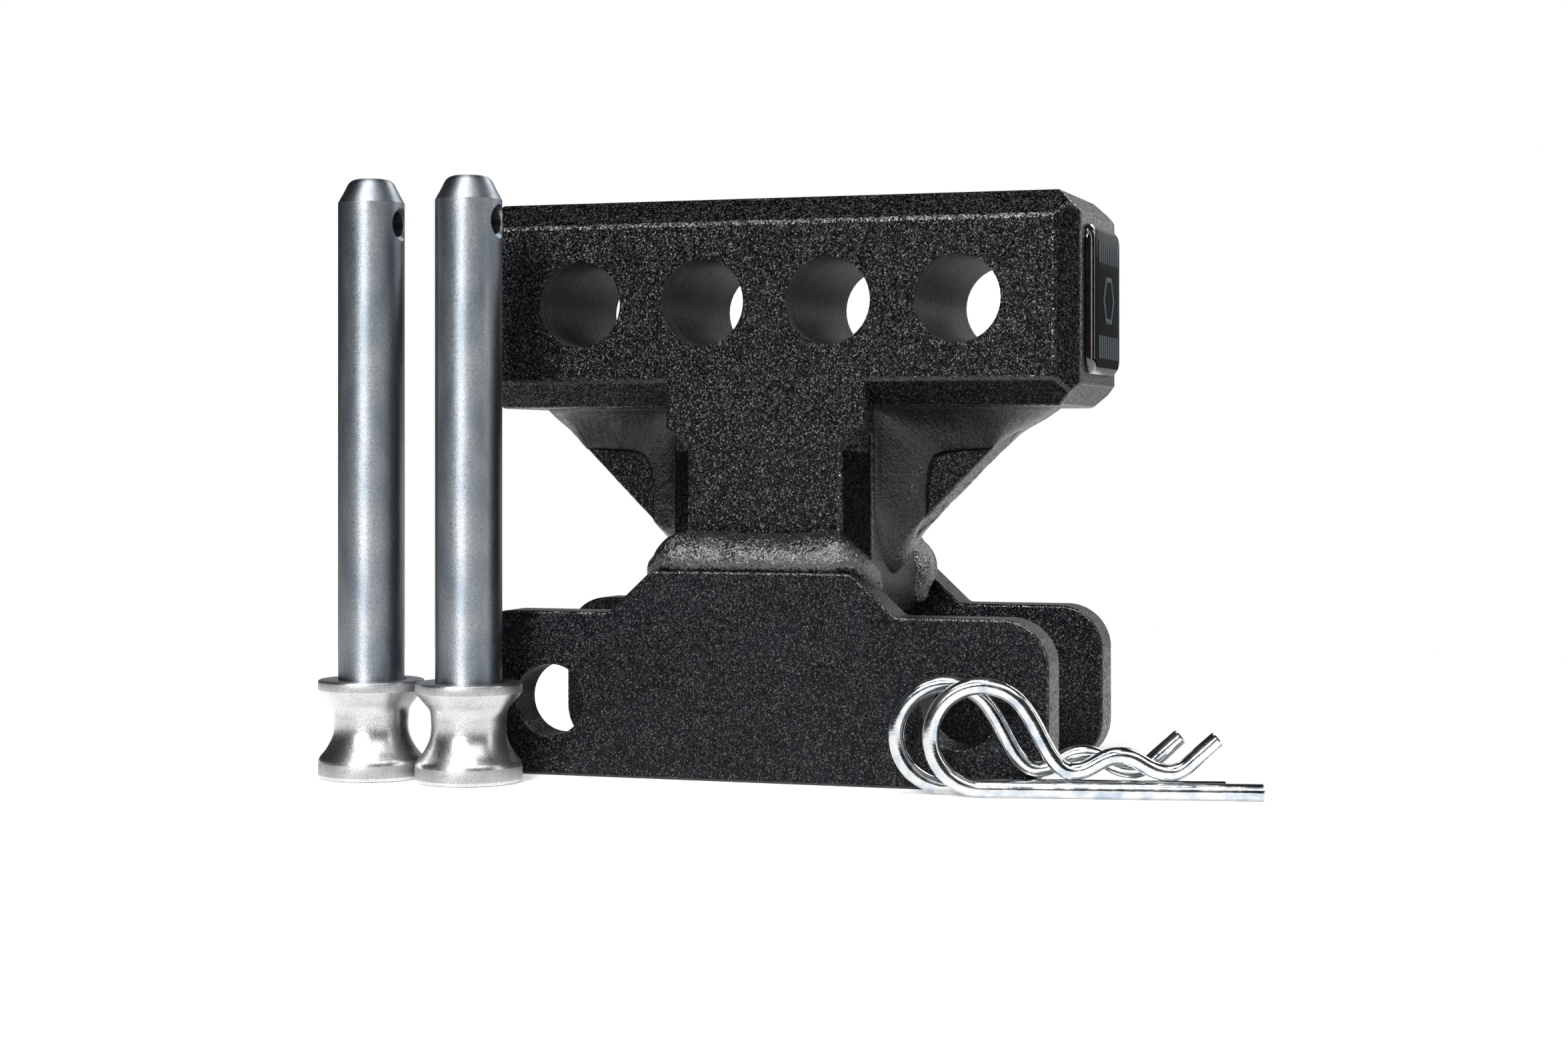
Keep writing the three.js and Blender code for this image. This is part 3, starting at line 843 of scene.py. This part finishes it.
def groove_depth(x, z, low, high):
    """How far the groove weld's face lies behind the bar's face."""
    off = abs(x)
    flat = HALF_NECK - CHAMFER
    feather = 0.35 * MM * smoothstep(high + 0.3 * MM, high + 3 * MM, z)
    sunk = 0.35 * MM * (1 - smoothstep(low - 3.6 * MM, low - 0.2 * MM, z))
    ledge = low + 0.6 * max(off - flat, 0) + 0.5 * MM * wander(Vector((x, 0, 0)), 3 * MM, 2)
    below = 1 - smoothstep(ledge - 0.6 * MM, ledge + 0.9 * MM, z)
    corner = min(max(off - HALF_NECK + SIDE_ROUNDING, 0), SIDE_ROUNDING)
    side = SIDE_ROUNDING - math.sqrt(SIDE_ROUNDING**2 - corner**2)
    uneven = 0.07 * MM * wander(Vector((x, 0, z)), 5 * MM, 4)
    return uneven - 0.05 * MM + feather + sunk + side + max(off - flat, 0) * below


def groove_weld(facing):
    """The weld that fills the groove between bar and neck, dressed flush with both."""
    name = "weld_bar_neck_" + facing
    lo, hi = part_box(name)
    face = MIDDLE.y + FACE_SIGN[facing] * HALF_NECK
    inward = -FACE_SIGN[facing]
    bottom = lo.z - 4 * MM
    top = hi.z + 3.2 * MM
    columns, rows = 110, 60
    bm = bmesh.new()
    front, back = [], []
    xs = [(HALF_NECK - EMBED / 3) * math.sin(math.pi / 2 * (2 * i / columns - 1))
          for i in range(columns + 1)]
    for k in range(rows + 1):
        z = bottom + (top - bottom) * k / rows
        front.append([bm.verts.new((
            MIDDLE.x + x, face + inward * groove_depth(x, z, lo.z, hi.z), z)) for x in xs])
        back.append([bm.verts.new((MIDDLE.x + x, face + inward * 8 * MM, z)) for x in xs])
    for grid in (front, back):
        for a, b in zip(grid, grid[1:]):
            for i in range(columns):
                bm.faces.new((a[i], a[i + 1], b[i + 1], b[i]))
    for k in range(rows):
        for i in (0, columns):
            bm.faces.new((front[k][i], front[k + 1][i], back[k + 1][i], back[k][i]))
    for k in (0, rows):
        for i in range(columns):
            bm.faces.new((front[k][i], front[k][i + 1], back[k][i + 1], back[k][i]))
    seat(link_mesh(name + "_fill", bm, [COAT_COARSE]), "hitch", name)


# Half of the plate weld, from the neck's side round to its middle, in millimetres from the
# neck's axis and from the top of the plate: its toe on the neck, then its foot on the plate.
PLATE_WELD_TOE = [(25.2, 18.2, -3.5), (25.3, 19.2, -0.9), (23.6, 20.9, 2.6), (21.4, 23.1, 6.2),
                  (19.5, 25, 9), (17.6, 25.4, 9.6), (9, 25.4, 9), (0, 25.4, 8.8)]
PLATE_WELD_FOOT = [(26.4, 18.8, -7), (28.7, 21.5, -6.2), (29.2, 26, -4.4), (27.6, 31, -2.8),
                   (23.8, 34.6, -0.1), (19.2, 36.2, -0.1), (9, 36.3, -0.1), (0, 36.3, -0.1)]
# How far the bead's skin turns, from level at its toe to curled under at its foot.
PLATE_WELD_CURL = math.radians(116)


def plate_weld_ring(toe, foot, side, facing):
    """One section of the plate weld, bulging between its toe and its foot and curled in at the foot."""
    inward = Vector((-0.04 * toe.x, -0.04 * toe.y, 0))
    outward = Vector((foot.x - toe.x, foot.y - toe.y, toe.z - foot.z)).normalized()
    skin = []
    for i in range(FILLET_STEPS + 1):
        t = i / FILLET_STEPS
        turn = PLATE_WELD_CURL * t
        curled = math.cos(PLATE_WELD_CURL)
        level = toe.lerp(foot, math.sin(turn))
        height = (math.cos(turn) - curled) / (1 - curled)
        point = Vector((level.x, level.y, foot.z + (toe.z - foot.z) * height))
        spot = Vector((side * point.x, point.y, point.z))
        bow = math.sin(math.pi * t)
        lift = (0.55 * wander(spot, 5 * MM, 12) + 0.14 * wander(spot, 1.8 * MM, 17)) * bow
        lift += 0.05 * bead_ripple(side * (toe.x - 2 * toe.y), t)
        lift += 0.25 * math.exp(-((t - 0.08) / 0.06) ** 2)
        skin.append(point + outward * lift * MM)
    low = min(foot.z, toe.z) - EMBED
    ring = [toe + inward - Vector((0, 0, 0.5 * MM)), *skin, Vector((foot.x, foot.y, low)) + inward,
            Vector((toe.x, toe.y, low)) + inward]
    return [Vector((MIDDLE.x + side * p.x, MIDDLE.y + FACE_SIGN[facing] * p.y, PLATE_HI.z + p.z))
            for p in ring]


def weld_tail(bm, side, facing):
    """The end of the bead, running down into the gap between neck and plate."""
    rings = []
    for i in range(TAIL_RINGS + 1):
        t = i / TAIL_RINGS
        radius = TAIL_RADIUS * math.sqrt(max(1 - (2 * t - 1) ** 4, 0.002))
        height = PLATE_HI.z - 2 * MM - TAIL_LENGTH * t
        ring = []
        for k in range(TAIL_SEGMENTS):
            turn = 2 * math.pi * k / TAIL_SEGMENTS
            around = Vector((math.cos(turn), math.sin(turn), 0))
            uneven = 1 + 0.15 * wander(around * radius + Vector((0, 0, height)), 2.5 * MM)
            ring.append(Vector((
                MIDDLE.x + side * (TAIL_OUT + around.x * radius * uneven),
                MIDDLE.y + FACE_SIGN[facing] * (TAIL_FORWARD + around.y * radius * uneven),
                height,
            )))
        rings.append(ring)
    add_rings(bm, rings)


def plate_weld(facing):
    """The fillet weld on the plate's top edge, which wraps round both corners of the neck."""
    name = "weld_plate_" + facing
    toe = [Vector(p) * MM for p in smooth_through(PLATE_WELD_TOE, 12)]
    foot = [Vector(p) * MM for p in smooth_through(PLATE_WELD_FOOT, 12)]
    left, right = ([plate_weld_ring(a, b, side, facing) for a, b in zip(toe, foot)] for side in (-1, 1))
    bm = bmesh.new()
    add_rings(bm, [*left, *right[-2::-1]])
    for side in (-1, 1):
        weld_tail(bm, side, facing)
    seat(link_mesh(name + "_bead", bm, [GLOSSY_BEAD]), "hitch", name)


# ---------------- end badge
def rounded_rectangle(half_width, half_height, radius, steps=8):
    """Corner arcs of a rounded rectangle, as (across, up) points."""
    points = []
    for turn, (sx, sy) in enumerate(((1, 1), (-1, 1), (-1, -1), (1, -1))):
        centre = (sx * (half_width - radius), sy * (half_height - radius))
        points += arc(centre, radius, 90 * turn, 90 * turn + 90, steps)
    return points


def raised_pad(bm, base, outline, layers):
    """A closed pad on the bar's end face: outline(inset) gives its edge at each layer's height."""
    rings = []
    for inset, height in layers:
        rings.append([Vector((base.x + height * MM, base.y + a, base.z + b))
                      for a, b in outline(inset * MM)])
    add_rings(bm, rings)


# The badge's edge as (inset, height) from the bar's end, in millimetres, and its marks likewise.
BADGE_LAYERS = [
    (0.5, -0.3), (0.1, 0), (0, 0.2), (0, 0.55), (0.06, 0.8), (0.35, 1.15), (0.75, 1.5),
    (1.2, 1.82), (1.6, 2.05), (2, 2.17), (2.6, 2.2), (5, 2.28), (9, 2.34), (13, 2.36)]
BADGE_CORNER = 4.2 * MM
BADGE_RIM_HEIGHT = 2.1 * MM
RIB_LAYERS = [(0, 2), (0, 2.38), (0.05, 2.45), (0.16, 2.48)]
RIB_PITCH = 2.6 * MM
RIBS_EACH_WAY = 4
BAND_RISE = 11.3 * MM
# The hexagon's section as (distance from its middle, height).
HEXAGON_SECTION = [(6.4, 2), (6.4, 2.42), (6.25, 2.52), (5.2, 2.52), (5.05, 2.42), (5.05, 2)]


def rib_outline(inset):
    """The edge of one rib of a band."""
    return rounded_rectangle(0.75 * MM - inset, 2.7 * MM - inset, 0.3 * MM, 3)


def badge():
    """A domed gloss plate on the bar's end, with a plain raised hexagon between two ribbed bands."""
    base = Vector((BADGE_LO.x, (BADGE_LO.y + BADGE_HI.y) / 2, (BADGE_LO.z + BADGE_HI.z) / 2))
    half_width = (BADGE_HI.y - BADGE_LO.y) / 2
    half_height = (BADGE_HI.z - BADGE_LO.z) / 2

    def edge(inset):
        corner = max(BADGE_CORNER - inset, 0.8 * MM)
        return rounded_rectangle(half_width - inset, half_height - inset, corner)

    bm = bmesh.new()
    raised_pad(bm, base, edge, BADGE_LAYERS)
    for face in bm.faces:
        face.material_index = 1 if face.calc_center_median().x > base.x + BADGE_RIM_HEIGHT else 0
    plate = link_mesh("end_badge_plate", bm, [BADGE_RIM, BADGE_FACE])
    seat(plate, "hitch", "end_badge")

    bm = bmesh.new()
    for up in (-1, 1):
        for step in range(-RIBS_EACH_WAY, RIBS_EACH_WAY + 1):
            centre = base + Vector((0, step * RIB_PITCH, up * BAND_RISE))
            raised_pad(bm, centre, rib_outline, RIB_LAYERS)
    hexagon = [(math.cos(math.radians(60 * k)), math.sin(math.radians(60 * k))) for k in range(6)]
    rings = [[base + Vector((height * MM, r * MM * a, r * MM * b)) for r, height in HEXAGON_SECTION]
             for a, b in hexagon]
    add_rings(bm, rings, closed=True)
    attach(link_mesh("end_badge_emblem", bm, [EMBLEM]), "hitch")


# ---------------- hitch pins
def cross_drill(shaft, height):
    """Drills and countersinks the clip's hole through a pin, along X."""
    bm = bmesh.new()
    wide = CROSS_HOLE_RADIUS + COUNTERSINK_RISE
    half = [(CROSS_HOLE_RADIUS, COUNTERSINK_START), (wide, COUNTERSINK_END), (wide, DRILL_REACH),
            (0, DRILL_REACH)]
    lathe(bm, [*((r, -z) for r, z in reversed(half)), *half], 64)
    turned = Matrix.Translation((0, 0, height)) @ Matrix.Rotation(math.pi / 2, 4, "Y")
    bmesh.ops.transform(bm, matrix=turned, verts=bm.verts)
    drill = link_mesh("drill", bm, [], shaft.location)
    cut = shaft.modifiers.new("cross hole", "BOOLEAN")
    cut.object = drill
    cut.solver = "EXACT"
    bpy.context.view_layer.update()
    bake(shaft)
    bpy.data.objects.remove(drill)
    shaft.data.shade_smooth()
    shaft.data.set_sharp_from_angle(angle=math.radians(30))


def hitch_pin(side):
    """A ground shaft with a drilled, stepped tip, standing in its turned spool head."""
    lo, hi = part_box(f"pin_{side}_shaft")
    head_lo, head_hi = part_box(f"pin_{side}_head")
    axis = Vector(((lo.x + hi.x) / 2, (lo.y + hi.y) / 2, 0))
    radius = (hi.x - lo.x) / 2
    shoulder = hi.z - TIP_LENGTH
    bm = bmesh.new()
    lathe(bm, [
        (0, lo.z), (radius - FOOT_CHAMFER, lo.z), (radius, lo.z + FOOT_CHAMFER),
        (radius, (lo.z + shoulder) / 2),
        *((radius - inset * MM, shoulder + rise * MM) for inset, rise in TIP_SHAPE), (0, hi.z),
    ], PIN_SEGMENTS)
    shaft = link_mesh(f"pin_{side}_steel", bm, [SHAFT_STEEL], axis)
    cross_drill(shaft, hi.z - CROSS_HOLE_DROP)
    seat(shaft, "pin_" + side, f"pin_{side}_shaft")

    wide = (head_hi.x - head_lo.x) / 2
    top = head_hi.z
    span = top - COLLAR_BAND - FLANGE_BAND
    waist = smooth_through(
        [(wide - WAIST_DIP * dip, FLANGE_BAND + span * up) for up, dip in WAIST_SHAPE], 6)
    seat_z = top - SOCKET_DEPTH - SOCKET_CLEARANCE
    socket = radius + SOCKET_CLEARANCE
    bm = bmesh.new()
    lathe(bm, [
        (0, 0), *((wide - inset * MM, rise * MM) for inset, rise in SPOOL_FOOT), *waist,
        *((wide - inset * MM, top - drop * MM) for inset, drop in SPOOL_TOP),
        (socket + SOCKET_CHAMFER, top), (socket, top - SOCKET_CHAMFER), (socket, seat_z), (0, seat_z),
    ], PIN_SEGMENTS)
    for face in bm.faces:
        up = face.calc_center_median().z
        on_flange = SPOOL_FOOT[-1][1] * MM < up < FLANGE_BAND
        on_collar = top - COLLAR_BAND < up < top - SPOOL_TOP[0][1] * MM
        face.material_index = 1 if on_flange or on_collar else 0
    head = link_mesh(f"pin_{side}_spool", bm, [HEAD_METAL, BAND_METAL], axis)
    seat(head, "pin_" + side, f"pin_{side}_head")


# ---------------- spring clips
def leg_line():
    """The clip's straight leg and lower loop, in its own plane, in millimetres."""
    loop = LOOP_RADIUS / MM
    curl = arc((0, loop), loop, 180, 270, 40)
    length = LEG_LENGTH / MM
    return curl + [(length * i / 60, 0) for i in range(1, 61)]


def arm_line():
    """The clip's upper loop, its waved arm and its turned-up tip, in millimetres."""
    loop = LOOP_RADIUS / MM
    low = ARM_LOW / MM
    hump = HUMP_RISE / MM
    line = arc((0, loop), loop, 180, 30, 60)
    line += bezier(line[-1], (13.3, 13.1), (15.6, low), (20.3, low), 30)
    line += bezier(line[-1], (24.9, low), (26.4, hump), (31, hump), 24)
    line += bezier(line[-1], (35.6, hump), (36.6, low), (42, low), 24)
    line += bezier(line[-1], (44.6, low), (46, low + 1.6), (47.2, low + 2.7), 14)
    line += [(47.2 + 5.4 * t, low + 2.7 + 4.85 * t) for t in (0.25, 0.5, 0.75, 1)]
    return line


def wire(bm, line, origin, along):
    """A round wire on a flat centre line, its far end cut square with a small chamfer."""
    side = along.cross(Vector((0, 0, 1)))
    rings = []
    for i, (reach, rise) in enumerate(line):
        before = line[max(i - 1, 0)]
        after = line[min(i + 1, len(line) - 1)]
        ahead = Vector((after[0] - before[0], after[1] - before[1])).normalized()
        normal = along * -ahead.y + Vector((0, 0, ahead.x))
        middle = origin + along * (reach * MM) + Vector((0, 0, rise * MM))
        turns = [2 * math.pi * k / WIRE_SEGMENTS for k in range(WIRE_SEGMENTS)]
        rings.append([middle + WIRE_RADIUS * (normal * math.cos(a) + side * math.sin(a)) for a in turns])
    push = (along * ahead.x + Vector((0, 0, ahead.y))) * END_CHAMFER
    rings.append([middle + (p - middle) * 0.8 + push for p in rings[-1]])
    add_rings(bm, rings)


def spring_clip(end):
    """A hairpin clip: its leg rides on one body, and its arm stays where it is built, on no body."""
    joint = next(j for j in frame["joints"] if j["name"] == f"clip_{end}_open")
    hinge = Vector(joint["pos_m"])
    axis = Vector(joint["axis"])
    along = axis.cross(Vector((0, 0, 1)))
    if along.x < 0:
        along = -along
    origin = hinge + along * LOOP_RADIUS - Vector((0, 0, LOOP_RADIUS))
    bm = bmesh.new()
    wire(bm, leg_line(), origin, along)
    leg = link_mesh(f"clip_{end}_wire_leg", bm, [ZINC])
    seat(leg, "clip_" + end, f"clip_{end}_leg")
    bm = bmesh.new()
    wire(bm, arm_line(), origin, along)
    arm = link_mesh(f"clip_{end}_wire_arm", bm, [ZINC])
    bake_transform(arm)
    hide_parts(f"clip_{end}_arm")


machined_copy("shank_bar", [COAT_COARSE, COAT_EDGE, BORE, COAT_CHAMFER_PAINTED_SHADE, COAT_SIDE_PAINTED_LIGHT])
machined_copy("neck_block", [COAT_COARSE, COAT_EDGE, BORE, COAT_PAINTED_SHADE, COAT_SIDE_PAINTED_LIGHT])
for side in SIGN:
    gusset(side)
    hitch_pin(side)
for facing in FACE_SIGN:
    clevis_plate(facing)
    groove_weld(facing)
    plate_weld(facing)
    spring_clip(facing)
    for side in SIGN:
        gusset_weld(side, facing)
badge()


# ---------------- floor, lights and camera
def floor():
    """A round white sheet of paper, bright enough to run into the white behind it."""
    material, tree, shader = new_material(
        "floor_paper", Roughness=0.9, Specular_IOR_Level=0.1, Emission_Color=(1, 1, 1, 1),
        Emission_Strength=0.3)
    grain = noise_of(tree, millimetres(tree), 0.05, 2)
    colour = mixed_colour(tree, grain, (0.82, 0.82, 0.82), (0.86, 0.86, 0.86))
    tree.links.new(colour, shader.inputs["Base Color"])
    bm = bmesh.new()
    bmesh.ops.create_circle(bm, cap_ends=True, segments=96, radius=FLOOR_RADIUS)
    link_mesh("floor", bm, [material])


def direction(azimuth, elevation):
    """Towards a light: azimuth 0 is in front of the hitch and 90 is off its badge end."""
    a = math.radians(azimuth)
    e = math.radians(elevation)
    return Vector((math.sin(a) * math.cos(e), -math.cos(a) * math.cos(e), math.sin(e)))


def hang(name, light, azimuth, elevation, distance):
    """Puts a light at a distance in metres from the object's middle, aimed at it."""
    towards = direction(azimuth, elevation)
    lamp = add_object(name, light)
    lamp.location = CENTRE + towards * distance
    lamp.rotation_euler = towards.to_track_quat("Z", "Y").to_euler()


def sun(name, azimuth, elevation, strength, spread):
    """A far light, whose place does not matter. Its spread is the angle it fills, in degrees."""
    light = bpy.data.lights.new(name, "SUN")
    light.energy = strength
    light.angle = math.radians(spread)
    hang(name, light, azimuth, elevation, 0)


def softbox(name, azimuth, elevation, distance, size, power, colour=(1, 1, 1)):
    """A flat light that faces the object."""
    light = bpy.data.lights.new(name, "AREA")
    light.shape = "RECTANGLE"
    light.size, light.size_y = size
    light.energy = power
    light.color = colour
    hang(name, light, azimuth, elevation, distance)


def white_room():
    """White behind the object, with a pale wall at its back to reflect and dimness elsewhere."""
    world = bpy.data.worlds.new("studio")
    world.use_nodes = True
    tree = world.node_tree
    direction_to = add_node(tree, "TexCoord").outputs["Generated"]
    depth = add_node(tree, "SeparateXYZ", {"Vector": direction_to}).outputs["Y"]
    wall = ranged(tree, depth, 0.7, 0.95, ROOM_DIM, WALL_BRIGHT)
    fill = tree.nodes["Background"]
    fill.inputs["Color"].default_value = (0.92, 0.96, 1, 1)
    tree.links.new(wall, fill.inputs["Strength"])
    white = add_node(tree, "Background", {"Color": (1, 1, 1, 1), "Strength": 1.0})
    seen = add_node(tree, "MixShader", {
        "Fac": add_node(tree, "LightPath").outputs["Is Camera Ray"],
        1: fill.outputs["Background"], 2: white.outputs["Background"],
    })
    tree.links.new(seen.outputs["Shader"], tree.nodes["World Output"].inputs["Surface"])
    bpy.context.scene.world = world


def camera():
    """The camera where the photographer stood, held level, with its frame shifted a little down."""
    lens = bpy.data.cameras.new("camera")
    lens.lens = CAMERA_LENS
    lens.sensor_width = 36
    lens.shift_y = CAMERA_SHIFT
    lens.clip_start = 0.01
    body = add_object("camera", lens)
    place = CENTRE + CAMERA_RANGE * direction(CAMERA_AZIMUTH, 0)
    body.location = (place.x, place.y, CAMERA_HEIGHT)
    body.rotation_euler = (math.radians(90), 0, math.radians(CAMERA_HEADING))
    bpy.context.scene.camera = body


floor()
white_room()
camera()
sun("key", -4, 29, 3.2, 18)
# Each softbox: its azimuth and elevation, its distance and size in metres, its power in watts.
softbox("overhead_box", -6, 72, 1.5, (0.5, 0.4), 12)
softbox("front_left_box", -36, 57, 1.5, (0.5, 0.5), 2)
softbox("right_panel", 42, 46, 1.3, (1.0, 0.6), 4.5)
softbox("right_strip", 90, 15, 1.2, (0.16, 1.2), 1.8)
softbox("right_rear_box", 125, 14, 1.2, (0.4, 0.8), 3.2)
softbox("left_strip", -40, 12, 1.3, (0.4, 1.2), 0.1, (0.65, 0.82, 1))
softbox("back_right_box", 155, 38, 1.3, (0.5, 0.5), 5)
softbox("back_strip", 158, 11, 1.3, (0.6, 0.2), 0.5)
bpy.context.scene.view_settings.view_transform = "Standard"

bpy.context.view_layer.update()
